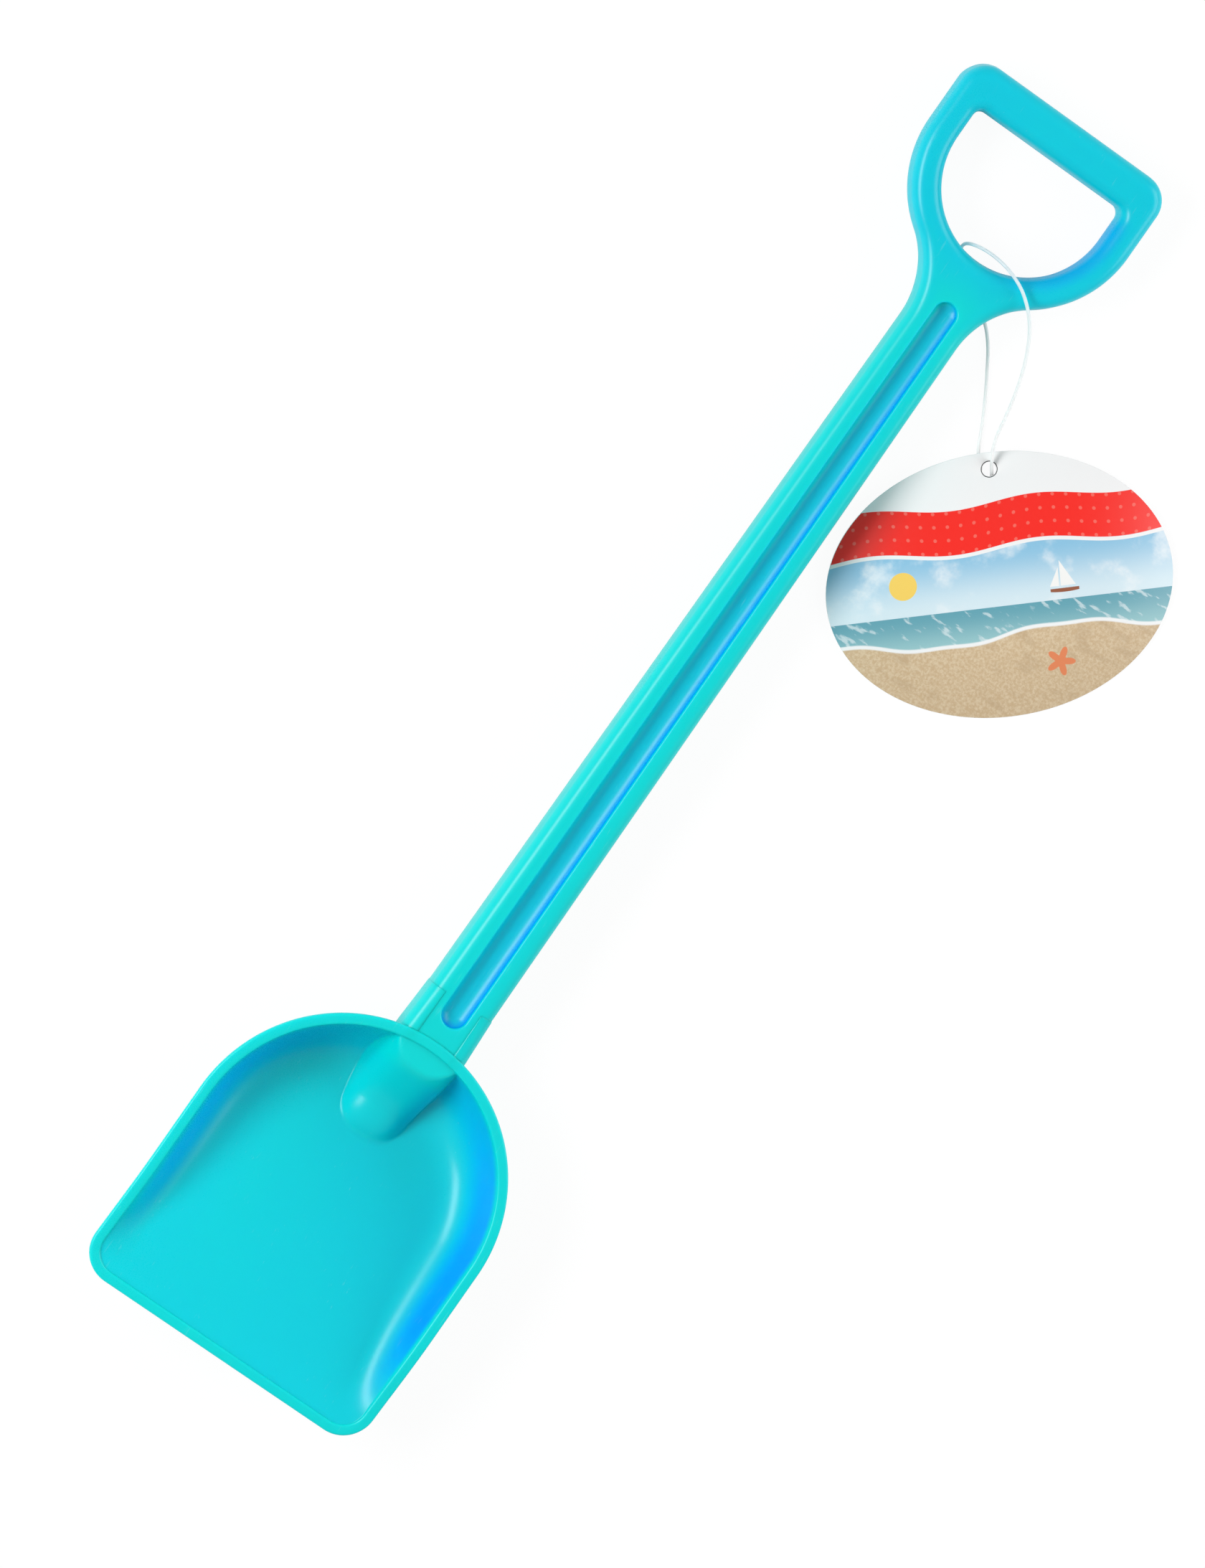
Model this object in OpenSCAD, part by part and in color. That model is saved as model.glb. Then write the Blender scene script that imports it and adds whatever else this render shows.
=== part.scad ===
// Child's sand shovel: a scoop blade with a moulded socket, a D-grip handle that plugs into it,
// and a hang tag on a plastic strap. Millimetres, lying on its back, blade towards -Y, grip towards +Y.

/* [Grip] */
// Radius of the grip's round outer edge
grip_r = 44.8; // [42:0.2:50]
// Width of the grip's arms, seen from the front
arm_w = 12; // [11.5:0.5:14]
// Distance from the grip's centre to the top of its bar
grip_top = 29.1; // [28:0.1:36]
// Width of the grip's bar, seen from the front
bar_w = 16.4; // [13:0.1:18]
// Radius of the grip's outer corners
grip_corner_r = 10.8; // [9:0.1:14]
// Radius of the opening's upper corners
opening_corner_r = 3.4; // [2:0.1:5]
// Radius of the hollow curve between grip and shaft
yoke_r = 34; // [24:1:44]

/* [Shaft] */
// Distance from the grip's centre to the blade's rear edge
shaft_l = 379.9; // [300:0.1:460]
// Width of the shaft below the grip
shaft_top_w = 23.8; // [22:0.1:26]
// Width of the shaft at the blade
shaft_end_w = 27.3; // [25:0.1:28.4]
// Thickness of the handle, front to back
handle_t = 18; // [17:0.1:20]
// Radius of the handle's long edges
edge_r = 5; // [4:0.1:5.2]
// Slope of the side faces, as a set-back at the edge
side_draft = 0.4; // [0.1:0.1:0.5]

/* [Front groove] */
// Distance from the grip's centre to the groove's upper end
groove_start = 51.5; // [46:0.1:70]
// Distance from the groove's lower end to the blade's rear edge
groove_rest = 6.9; // [6:0.1:20]
// Width of the groove at its upper end
groove_top_w = 8.9; // [7:0.1:11]
// Width of the groove at its lower end
groove_end_w = 10.1; // [8:0.1:11]
// Depth of the groove along its middle
groove_d = 4.2; // [3:0.1:4.6]
// Radius of the groove's rounded floor
groove_floor_r = 6.4; // [6:0.1:9]

/* [Back channel] */
// Width of the ribbed channel
channel_w = 15; // [12:0.1:16]
// Depth of the channel behind the groove
channel_d = 10.4; // [7:0.1:10.6]
// Distance between the ribs' middles
rib_pitch = 8; // [6:0.1:12]
// Thickness of a rib
rib_t = 1.6; // [1.2:0.1:2.4]
// How far the ribs stand back from the handle's back face
rib_recess = 1; // [0.4:0.1:2]

/* [Blade] */
// Length of the blade from its rear edge to its lip
blade_l = 141; // [125:0.1:170]
// Half the blade's width, and the radius of its round rear edge
blade_r = 62.2; // [56:0.1:70]
// Radius of the blade's front corners
blade_corner_r = 13; // [12:0.1:18]
// Width of the rim, seen from the front
rim_w = 4.1; // [3.6:0.1:5]
// How far the rim stands out past the wall
flange_w = 2.4; // [1.6:0.1:2.8]
// Thickness of the rim's flange
flange_t = 2.4; // [2:0.1:3]
// Rounding of the rim's edges
rim_round = 0.6; // [0.3:0.1:0.9]
// Thickness of the blade's floor
floor_t = 2.2; // [1.8:0.1:3]
// Depth of the blade at its heel, below the rim
heel_d = 29; // [27:0.1:32]
// Depth of the blade's floor at the lip, below the lip's edge
lip_d = 1; // [0.6:0.1:2]
// How far the lip lies below the rim's plane
lip_drop = 6; // [3:0.1:9]
// Length over which the rim comes down to the lip
lip_fall = 50; // [35:1:70]
// Run of the wall at the sides, seen from the front
side_run = 8.6; // [7:0.1:11]
// Run of the wall at the rear
rear_run = 24; // [20:0.1:26]
// Run of the bevel behind the lip
lip_run = 3; // [2:0.1:6]
// Radius of the floor's front corners
floor_corner_r = 6; // [4:0.1:8]
// How far the rim stands above the handle's front face
rim_rise = 1.2; // [0.8:0.1:2]

/* [Socket] */
// Radius of the half-round hump over the socket
hump_r = 14.7; // [14.2:0.1:16]
// Slope of the hump's ridge, in degrees
hump_a = 36; // [33:1:38]
// Length of the hump's flat top, from the blade's rear edge
hump_flat = 12.6; // [12:0.1:15]
// Length of the whole hump, from the blade's rear edge
hump_l = 45.4; // [42:0.1:50]
// Length of the tongues that clasp the shaft
tongue_l = 17.3; // [14:0.1:24]
// Distance from the middle to a tongue's inner edge
tongue_x = 7.9; // [7.4:0.1:8.6]
// How far the tongues flare out at the rim
tongue_flare = 0.9; // [0:0.1:1.3]
// How far the tongues stand out from the shaft
tongue_proud = 0.15; // [0.05:0.05:0.3]
// Thickness of the socket's wall
socket_t = 2.4; // [2:0.1:2.8]
// Half the width of the tenon inside the hump
tenon_x = 9; // [8:0.1:9.4]
// Clearance between handle and blade
fit_gap = 0.15; // [0.1:0.05:0.25]

/* [Hang tag] */
// Length of the oval card
tag_w = 130; // [120:1:136]
// Height of the oval card
tag_h = 99; // [94:1:104]
// Thickness of the card
tag_t = 0.6; // [0.4:0.1:0.8]
// Diameter of the card's hole
tag_hole_d = 5.5; // [4.5:0.1:6]
// Distance from the hole's middle to the card's edge
tag_hole_edge = 6.2; // [5:0.1:8]
// Diameter of the strap
strap_d = 1.3; // [1:0.1:1.4]
// Width of the strap's lock
lock_w = 3.2; // [2.6:0.1:3.6]
// Thickness of the strap's lock
lock_t = 2.2; // [1.6:0.1:2.3]

/* [Hidden] */
$fn = 64;
eps = 1; // overrun of cuts
plastic_color = "deepskyblue";
strap_color = "whitesmoke";
card_color = "white";

// A point between a and b, and a smooth step from 0 to 1
function mix(a, b, t) = a + (b - a) * t;
function ease(t) = (1 - cos(180 * min(max(t, 0), 1))) / 2;
// Points of an arc; the first is left out where a line or another arc already ends there
function arc(c, r, a0, a1, n, first = 0) =
    [for (i = [first:n]) c + r * [cos(mix(a0, a1, i / n)), sin(mix(a0, a1, i / n))]];
// The other half of an outline that starts and ends on the middle line
function mirrored(half) =
    concat(half, [for (i = [len(half) - 2:-1:1]) [-half[i].x, half[i].y]]);
// The same for points with a height
function mirrored3(half) =
    concat(half, [for (i = [len(half) - 2:-1:1]) [-half[i].x, half[i].y, half[i].z]]);

// Triangles between ring a and ring b of n points; each ring runs clockwise, seen from the last ring's end
function band(a, b, n) = [for (i = [0:n - 1]) let (j = (i + 1) % n)
    each [[a * n + i, a * n + j, b * n + j], [a * n + i, b * n + j, b * n + i]]];
// A closed solid through rings of equally many points, flat at both ends
module skin(rings) {
    n = len(rings[0]);
    last = len(rings) - 1;
    polyhedron(
        points = [for (ring = rings) each ring],
        faces = concat([[for (i = [n - 1:-1:0]) i]],
            [for (k = [0:last - 1]) each band(k, k + 1, n)],
            [[for (i = [0:n - 1]) last * n + i]]),
        convexity = 8);
}
// The same, closed by a band from the last ring back to the first
module ring_skin(rings) {
    n = len(rings[0]);
    count = len(rings);
    polyhedron(
        points = [for (ring = rings) each ring],
        faces = [for (k = [0:count - 1]) each band(k, (k + 1) % count, n)],
        convexity = 10);
}

// Handle
half_t = handle_t / 2;
corner_steps = 6;
ring_steps = 14;
yoke_steps = 9;
opening_steps = ring_steps + yoke_steps + 2; // as many points as the outer outline has
edge_steps = 5;
edge_in = side_draft + edge_r;
yoke_x = shaft_top_w / 2 + yoke_r;
yoke_y = sqrt(pow(grip_r + yoke_r, 2) - pow(yoke_x, 2));
yoke_a = atan2(yoke_y, yoke_x);
opening_r = grip_r - arm_w;
opening_top = grip_top - bar_w;
tongue_y = -shaft_l + tongue_l;
body_end = -shaft_l - rim_w;

// Half the shaft's width at a place along it
function shaft_x(y) = mix(shaft_top_w, shaft_end_w, (-yoke_y - y) / (shaft_l - yoke_y)) / 2;
// The rounded edge from the middle plane to the front face: set-back and height
edge_up = concat([[0, 0]], [for (i = [0:edge_steps]) let (a = 90 * i / edge_steps)
    [side_draft + edge_r * (1 - cos(a)), half_t - edge_r + edge_r * sin(a)]]);
edge_all = concat([for (i = [len(edge_up) - 1:-1:1]) [edge_up[i].x, -edge_up[i].y]], edge_up);

// The handle's outline, set back by d, from the middle of the bar round to the shaft's end
function handle_half(d) = concat(
    [[0, grip_top - d]],
    arc([grip_r - grip_corner_r, grip_top - grip_corner_r], grip_corner_r - d, 90, 0, corner_steps),
    arc([0, 0], grip_r - d, 0, -yoke_a, ring_steps),
    arc([yoke_x, -yoke_y], yoke_r + d, 180 - yoke_a, 180, yoke_steps, 1),
    [[shaft_x(body_end) - d, body_end], [0, body_end]]);
// The opening's outline, widened by d
function opening_half(d) = concat(
    [[0, opening_top + d]],
    arc([opening_r - opening_corner_r, opening_top - opening_corner_r],
        opening_corner_r + d, 90, 0, corner_steps),
    arc([0, 0], opening_r + d, 0, -90, opening_steps));
function at_height(outline, z) = [for (p = outline) [p.x, p.y, z]];

// Grip and shaft with the opening: rings up the outside from back to front, then down the opening
module handle_body() {
    ring_skin(concat([for (e = edge_all) at_height(mirrored(handle_half(e.x)), e.y)],
        [for (i = [len(edge_all) - 1:-1:0]) at_height(mirrored(opening_half(edge_all[i].x)), edge_all[i].y)]));
}

// Smooth groove down the front, with round ends and a hollow floor
module groove() {
    end_y = -shaft_l + groove_rest;
    top_r = groove_top_w / 2;
    end_r = groove_end_w / 2;
    side = concat(arc([0, -groove_start - top_r], top_r, 0, 180, 12),
        arc([0, end_y + end_r], end_r, 180, 360, 12));
    floor_z = half_t - groove_d + groove_floor_r;
    intersection() {
        translate([0, 0, half_t - groove_d - eps]) linear_extrude(groove_d + 2 * eps) polygon(side);
        union() {
            translate([0, -groove_start - top_r, floor_z]) sphere(groove_floor_r);
            translate([0, -groove_start - top_r, floor_z]) rotate([90, 0, 0])
                cylinder(r = groove_floor_r, h = -groove_start - top_r - end_y - end_r);
            translate([0, end_y + end_r, floor_z]) sphere(groove_floor_r);
        }
    }
}

// Channel down the back, crossed by ribs
module back_channel() {
    r = channel_w / 2;
    top_y = -groove_start - r;
    end_y = tongue_y + rib_pitch;
    count = floor((top_y - end_y - r) / rib_pitch);
    difference() {
        translate([0, 0, -half_t - eps]) linear_extrude(channel_d + eps) union() {
            translate([0, top_y]) circle(r);
            translate([-r, end_y + r]) square([channel_w, top_y - end_y - r]);
            translate([0, end_y + r]) circle(r);
        }
        for (i = [0:count])
            translate([-r - eps, top_y - i * rib_pitch - rib_t / 2, -half_t + rib_recess])
                cube([channel_w + 2 * eps, rib_t, channel_d]);
    }
}

// The core between the tongues and the slanted tenon inside the hump; grow makes the socket's cavity
core_x = shaft_end_w / 2 - socket_t;
core_z = half_t - socket_t;
tenon_y = -shaft_l - hump_flat;
// How far the tenon's slanted end stays under the hump's ridge
ridge_gap = socket_t + (hump_r - sqrt(pow(hump_r, 2) - pow(tenon_x, 2)));
tenon_l = hump_flat + (half_t + core_z - ridge_gap / cos(hump_a)) / tan(hump_a);
module tenon(grow = 0) {
    translate([-core_x - grow, -shaft_l, -core_z - grow])
        cube([2 * (core_x + grow), tongue_l + grow, 2 * (core_z + grow)]);
    difference() {
        translate([-tenon_x - grow, -shaft_l - tenon_l - grow, -core_z - grow])
            cube([2 * (tenon_x + grow), tenon_l + tongue_l / 2 + grow, 2 * (core_z + grow)]);
        translate([0, tenon_y, half_t]) rotate([hump_a, 0, 0])
            translate([-hump_r, -2 * hump_l, grow - ridge_gap])
                cube([2 * hump_r, 4 * hump_l, 2 * hump_l]);
    }
}

// What is taken off the shaft's end: both flanks, and all that reaches the rim
module joint_cut() {
    difference() {
        translate([-shaft_end_w, body_end - eps, -handle_t])
            cube([2 * shaft_end_w, tongue_l + rim_w + eps, 2 * handle_t]);
        difference() {
            translate([-tongue_x, body_end - 2 * eps, -handle_t - eps])
                cube([2 * tongue_x, tongue_l + rim_w + 4 * eps, 2 * handle_t + 2 * eps]);
            translate([0, blade_cy, -handle_t - 2 * eps])
                cylinder(r = blade_r + fit_gap, h = 2 * handle_t + 4 * eps, $fn = 128);
        }
    }
}

// Blade
blade_cy = -shaft_l - blade_r;
lip_y = -shaft_l - blade_l;
rim_z = half_t + rim_rise;
rear_steps = 16;
side_steps = 9;
lip_steps = 3;
wall_steps = 6;
floor_x = blade_r - rim_w - side_run;
floor_heel_y = -shaft_l - rim_w - rear_run;
floor_lip_y = lip_y + rim_w + lip_run;
floor_heel_z = rim_z - heel_d;
floor_lip_z = rim_z - lip_drop - lip_d;
floor_slope = (floor_lip_z - floor_heel_z) / (floor_lip_y - floor_heel_y);
// Share of the wall's slope at the top and of the fillet at the bottom, as a curve's inner points
wall_shares = [[0, 0], [0.35, 0.45], [0.62, 1], [1, 1]];
function bezier(p, t) = pow(1 - t, 3) * p[0] + 3 * t * pow(1 - t, 2) * p[1]
    + 3 * pow(t, 2) * (1 - t) * p[2] + pow(t, 3) * p[3];

// Height of the rim along the blade, and of the floor's upper face
function rim_height(y) = rim_z - lip_drop * ease((lip_y + lip_fall - y) / lip_fall);
function floor_height(y) = floor_heel_z + floor_slope * (y - floor_heel_y);
// Where the sides' points lie: closer together towards the lip
function side_y(i) = mix(blade_cy, lip_y + blade_corner_r, 1 - pow(1 - i / side_steps, 1.4));

// The blade's outline, set back by d, from the middle of its rear edge round to the middle of its lip
function blade_half(d) = concat(
    arc([0, blade_cy], blade_r - d, 90, 0, rear_steps),
    [for (i = [1:side_steps]) [blade_r - d, side_y(i)]],
    arc([blade_r - blade_corner_r, lip_y + blade_corner_r], blade_corner_r - d, 0, -90, corner_steps, 1),
    [for (i = [1:lip_steps]) [(blade_r - blade_corner_r) * (1 - i / lip_steps), lip_y + d]]);
// The floor's outline, widened by d
function floor_half(d) = concat(
    [for (i = [0:rear_steps]) let (a = 90 - 90 * i / rear_steps)
        [0, blade_cy] + (blade_r - rim_w - mix(side_run, rear_run, pow(sin(a), 2)) + d) * [cos(a), sin(a)]],
    [for (i = [1:side_steps]) [floor_x + d, side_y(i)]],
    arc([floor_x - floor_corner_r, floor_lip_y + floor_corner_r], floor_corner_r + d, 0, -90, corner_steps, 1),
    [for (i = [1:lip_steps]) [(floor_x - floor_corner_r) * (1 - i / lip_steps), floor_lip_y - d]]);

// A ring of the rim, set back by d and lowered by drop
function rim_ring(d, drop) = let (edge = blade_half(0), here = blade_half(d))
    mirrored3([for (i = [0:len(edge) - 1]) [here[i].x, here[i].y, rim_height(edge[i].y) - drop]]);
// A ring of the wall: t runs from the rim to the floor, and side from the inner face 0 to the outer 1
floor_widen = 0.7;
function wall_ring(t, side) = let (
        edge = blade_half(0),
        top = blade_half(mix(rim_w, flange_w, side)),
        foot = floor_half(floor_widen * side),
        share = bezier(wall_shares, t))
    mirrored3([for (i = [0:len(edge) - 1]) let (
            p = mix(top[i], foot[i], share.x),
            z0 = rim_height(edge[i].y) - mix(rim_round, flange_t, side),
            z1 = floor_height(foot[i].y) - floor_t * side)
        [p.x, p.y, mix(z0, z1, share.y)]]);

module blade_shell() {
    skin(concat(
        [for (i = [wall_steps:-1:0]) wall_ring(i / wall_steps, 1)],
        [rim_ring(0, flange_t), rim_ring(0, rim_round), rim_ring(rim_round, 0),
            rim_ring(rim_w - rim_round, 0)],
        [for (i = [0:wall_steps]) wall_ring(i / wall_steps, 0)]));
}

// The bowl's inside down to the middle of its wall, closed by a flat top above the rim
module bowl_space() {
    top = rim_z + eps;
    skin(concat(
        [for (i = [wall_steps:-1:0]) wall_ring(i / wall_steps, 0.5)],
        [at_height(mirrored(blade_half(mix(rim_w, flange_w, 0.5))), top)]));
}

// Half-round ridge that dives from the rear edge to the floor and ends in a round nose
module hump() {
    axis_drop = hump_r / cos(hump_a);
    run = hump_l - hump_flat;
    intersection() {
        translate([0, tenon_y, half_t - axis_drop]) rotate([hump_a, 0, 0]) {
            rotate([-90, 0, 0]) cylinder(r = hump_r, h = 2 * hump_l);
            rotate([90, 0, 0]) cylinder(r = hump_r, h = run * cos(hump_a));
            translate([0, -run * cos(hump_a), 0]) sphere(hump_r);
        }
        translate([-hump_l, -shaft_l - 2 * hump_l, half_t - 2 * hump_l]) cube([2 * hump_l, 3 * hump_l, 2 * hump_l]);
    }
}

// The socket's outer form: the shaft's own section, standing a little proud and flaring at the rim
function socket_ring(y, grow) = let (hw = shaft_x(y) + grow, k = 1 + tongue_proud / half_t)
    concat([for (e = edge_all) [hw - e.x, y, e.y * k]],
        [for (i = [len(edge_all) - 1:-1:0]) [edge_all[i].x - hw, y, edge_all[i].y * k]]);
module collar() {
    skin([socket_ring(-shaft_l - rear_run, tongue_flare), socket_ring(-shaft_l - rim_round, tongue_flare),
        socket_ring(tongue_y - fit_gap, tongue_proud)]);
}

// The strip of the shaft that runs between the tongues, with its clearance
module strip_slot() {
    difference() {
        translate([-tongue_x - fit_gap, -shaft_l - rim_w, -handle_t])
            cube([2 * (tongue_x + fit_gap), tongue_l + rim_w + eps, 2 * handle_t]);
        translate([0, blade_cy, -handle_t - eps])
            cylinder(r = blade_r, h = 2 * handle_t + 2 * eps, $fn = 128);
    }
}

// Lying at rest: the heel of the blade and the bar of the grip touch the ground
bar_rest = [grip_top - edge_in, -half_t];
heel_points = [for (i = [wall_steps:-1:0]) let (p = wall_ring(i / wall_steps, 1)[0]) [p.y, p.z]];
function lie_angle(p) = atan2(bar_rest.y - p.y, bar_rest.x - p.x);
function height_at(p, a) = p.y * cos(a) - p.x * sin(a);
function lowest(points, a) = [for (p = points)
    if (height_at(p, a) <= min([for (q = points) height_at(q, a)])) p][0];
lie_a = lie_angle(lowest(heel_points, lie_angle(heel_points[0])));
lie_z = -height_at(bar_rest, lie_a);
tip_high = grip_top * cos(lie_a);
tip_low = lip_y * cos(lie_a) + (rim_z - lip_drop - flange_t) * sin(lie_a);
lie_y = -(tip_high + tip_low) / 2;
module lie() {
    translate([0, lie_y, lie_z]) rotate([-lie_a, 0, 0]) children();
}

module blade() {
    color(plastic_color) lie() difference() {
        union() {
            blade_shell();
            intersection() {
                hump();
                bowl_space();
            }
            difference() {
                collar();
                bowl_space();
                strip_slot();
            }
        }
        tenon(fit_gap);
    }
}

module handle() {
    color(plastic_color) lie() union() {
        difference() {
            handle_body();
            groove();
            back_channel();
            joint_cut();
        }
        tenon();
    }
}

// Card, strap and lock lie beside the shaft
card_at = [78.2, 121.4];
card_turn = 41.5;
card_tilt = 2;
hole_v = tag_h / 2 - tag_hole_edge;
ellipse_steps = 72;
module card_place() {
    translate([card_at.x, card_at.y, 0]) rotate([0, 0, card_turn])
        translate([0, -tag_h / 2, 0]) rotate([card_tilt, 0, 0]) translate([0, tag_h / 2, 0]) children();
}
module swing_tag() {
    color(card_color) card_place() difference() {
        linear_extrude(tag_t) polygon([for (i = [0:ellipse_steps - 1])
            let (a = 360 * i / ellipse_steps) [tag_w / 2 * cos(a), tag_h / 2 * sin(a)]]);
        translate([0, hole_v, -eps]) cylinder(d = tag_hole_d, h = tag_t + 2 * eps);
    }
}

// Strap: from the lock's lower end under the card, up through its hole, round the grip's left arm
// from front to back, and along the ground to the lock's upper end
strap_route = [
    [48.6, 147.9, 1.3], [49.5, 146.7, 1.2], [51.4, 145.8, 1.1], [53.5, 146.5, 1.1], [54.5, 148.4, 1.1],
    [53.8, 150.5, 1.2], [52.1, 152.4, 2], [50.4, 154.2, 3.6], [48.4, 156.6, 5.4], [46, 160, 7.6],
    [43.5, 165.5, 10.4], [41.5, 173, 13.4], [38.5, 183, 16.8], [34.5, 193, 19.6], [29.5, 202, 21.6],
    [24, 208.5, 22.4], [17.5, 213.5, 22.2], [10.5, 216.5, 20.6], [4, 217.8, 17.8], [-1.5, 217.8, 14.4],
    [-5.5, 216.9, 10.6], [-7, 215.5, 6.8], [-6.3, 213.2, 3.4], [-3.3, 209.8, 1.2], [2, 205.5, 0.75],
    [8, 202, 0.75], [13.5, 199, 0.75], [18.5, 195.5, 0.75], [23.5, 190, 0.75], [28.5, 182.5, 0.75],
    [33.5, 174.5, 0.75], [38, 166.5, 0.8], [42, 158.5, 0.9], [45.4, 153.1, 1.3]];
strap_sides = 8;
strap_parts = 2; // rings from one route point to the next
route_last = len(strap_route) - 1;
lock_from = strap_route[route_last];
lock_to = strap_route[0];
lock_dir = (lock_to - lock_from) / norm(lock_to - lock_from);

function unit(v) = v / norm(v);
// A point on the smooth curve through a, b, c and d, between b and c
function between(a, b, c, d, t) = (2 * b + (c - a) * t + (2 * a - 5 * b + 4 * c - d) * pow(t, 2)
    + (3 * b - a - 3 * c + d) * pow(t, 3)) / 2;
function route_point(i) = i < 0 ? 2 * strap_route[0] - strap_route[1]
    : i > route_last ? 2 * strap_route[route_last] - strap_route[route_last - 1]
    : strap_route[i];
strap_line = [for (i = [0:route_last * strap_parts]) let (k = min(floor(i / strap_parts), route_last - 1))
    between(route_point(k - 1), route_point(k), route_point(k + 1), route_point(k + 2), i / strap_parts - k)];
strap_last = len(strap_line) - 1;
// The strap's direction at each ring; both ends are square to the lock
strap_dirs = [for (i = [0:strap_last])
    i == 0 || i == strap_last ? lock_dir : unit(strap_line[i + 1] - strap_line[i - 1])];
// One side direction for each ring, carried along without twist
strap_sideways = [for (i = 0, u = unit(cross(strap_dirs[0], [0, 0, 1])); i <= strap_last;
    i = i + 1, u = i > strap_last ? u : unit(u - (u * strap_dirs[i]) * strap_dirs[i])) u];
module tag_loop() {
    color(strap_color) skin([for (i = [0:strap_last]) let (u = strap_sideways[i], w = cross(strap_dirs[i], u))
        [for (j = [0:strap_sides - 1]) let (a = -360 * j / strap_sides)
            strap_line[i] + strap_d / 2 * (cos(a) * u + sin(a) * w)]]);
}
// Lock: a small slab into whose ends both ends of the strap run
module loop_lock() {
    color(strap_color) translate(lock_from) rotate([0, 0, atan2(lock_dir.y, lock_dir.x)])
        translate([0, -lock_w / 2, -lock_t / 2]) cube([norm(lock_to - lock_from), lock_w, lock_t]);
}

blade();
handle();
tag_loop();
loop_lock();
swing_tag();
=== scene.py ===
from math import atan2, cos, degrees, pi, radians, sin, sqrt

import bmesh
import bpy
from mathutils import Matrix, Vector


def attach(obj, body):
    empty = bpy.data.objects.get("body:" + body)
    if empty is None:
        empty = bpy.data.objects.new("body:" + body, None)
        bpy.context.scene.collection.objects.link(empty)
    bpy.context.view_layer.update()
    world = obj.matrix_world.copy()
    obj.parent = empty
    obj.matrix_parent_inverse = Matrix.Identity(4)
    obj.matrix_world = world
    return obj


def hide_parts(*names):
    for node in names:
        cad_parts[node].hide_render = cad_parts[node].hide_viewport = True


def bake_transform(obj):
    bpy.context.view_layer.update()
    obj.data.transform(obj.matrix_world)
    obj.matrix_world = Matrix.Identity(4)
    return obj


bl_info = {
    "name": "Sand shovel",
    "version": (1, 0, 0),
    "blender": (4, 5, 0),
    "location": "3D View > Sidebar > Sand shovel",
    "description": "Builds a moulded sand shovel with its hang tag, ready for a picture",
    "category": "Object",
}

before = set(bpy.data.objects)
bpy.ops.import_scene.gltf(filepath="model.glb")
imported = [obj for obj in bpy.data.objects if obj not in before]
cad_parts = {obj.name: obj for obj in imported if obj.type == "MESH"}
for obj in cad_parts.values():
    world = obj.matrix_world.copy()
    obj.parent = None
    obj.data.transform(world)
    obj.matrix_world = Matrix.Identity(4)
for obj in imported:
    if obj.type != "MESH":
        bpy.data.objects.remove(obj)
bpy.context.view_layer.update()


# Sizes and colours

def length(default, name):
    return bpy.props.FloatProperty(name=name, default=default, unit="LENGTH", precision=4)


def angle(turn, name):
    """An angle, given in degrees."""
    return bpy.props.FloatProperty(name=name, default=radians(turn), unit="ROTATION")


def number(default, name):
    return bpy.props.FloatProperty(name=name, default=default)


def colour(default, name):
    return bpy.props.FloatVectorProperty(name=name, default=default, size=3, subtype="COLOR", min=0, max=1)


class HandleSizes(bpy.types.PropertyGroup):
    grip_r: length(0.0448, "Radius of the grip's round outer edge")
    arm_w: length(0.012, "Width of the grip's arms")
    grip_top: length(0.0291, "From the grip's centre to the top of its bar")
    bar_w: length(0.0164, "Width of the grip's bar")
    grip_corner_r: length(0.0108, "Radius of the grip's outer corners")
    opening_corner_r: length(0.0034, "Radius of the opening's upper corners")
    yoke_r: length(0.034, "Radius of the hollow curve between grip and shaft")
    shaft_l: length(0.3799, "From the grip's centre to the blade's rear edge")
    shaft_top_w: length(0.0238, "Width of the shaft below the grip")
    shaft_end_w: length(0.0273, "Width of the shaft at the blade")
    thick: length(0.018, "Thickness of the handle, front to back")
    edge_r: length(0.005, "Radius of the handle's long edges")
    back_edge_r: length(0.003, "Radius of the shaft's long edges at the back")
    side_draft: length(0.0004, "Set-back of the side faces at the edge")
    groove_start: length(0.0515, "From the grip's centre to the groove's upper end")
    groove_rest: length(0.0069, "From the groove's lower end to the blade")
    groove_top_w: length(0.0089, "Width of the groove at its upper end")
    groove_end_w: length(0.0101, "Width of the groove at its lower end")
    groove_d: length(0.0042, "Depth of the groove along its middle")
    groove_floor_r: length(0.0064, "Radius of the groove's hollow floor")
    groove_lip_r: length(0.0008, "Rounding of the groove's edge")
    channel_w: length(0.015, "Width of the ribbed channel in the back")
    channel_d: length(0.0104, "Depth of the ribbed channel")
    rib_pitch: length(0.008, "Distance between the ribs")
    rib_t: length(0.0016, "Thickness of a rib")
    rib_recess: length(0.001, "Set-back of the ribs from the back face")


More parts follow.
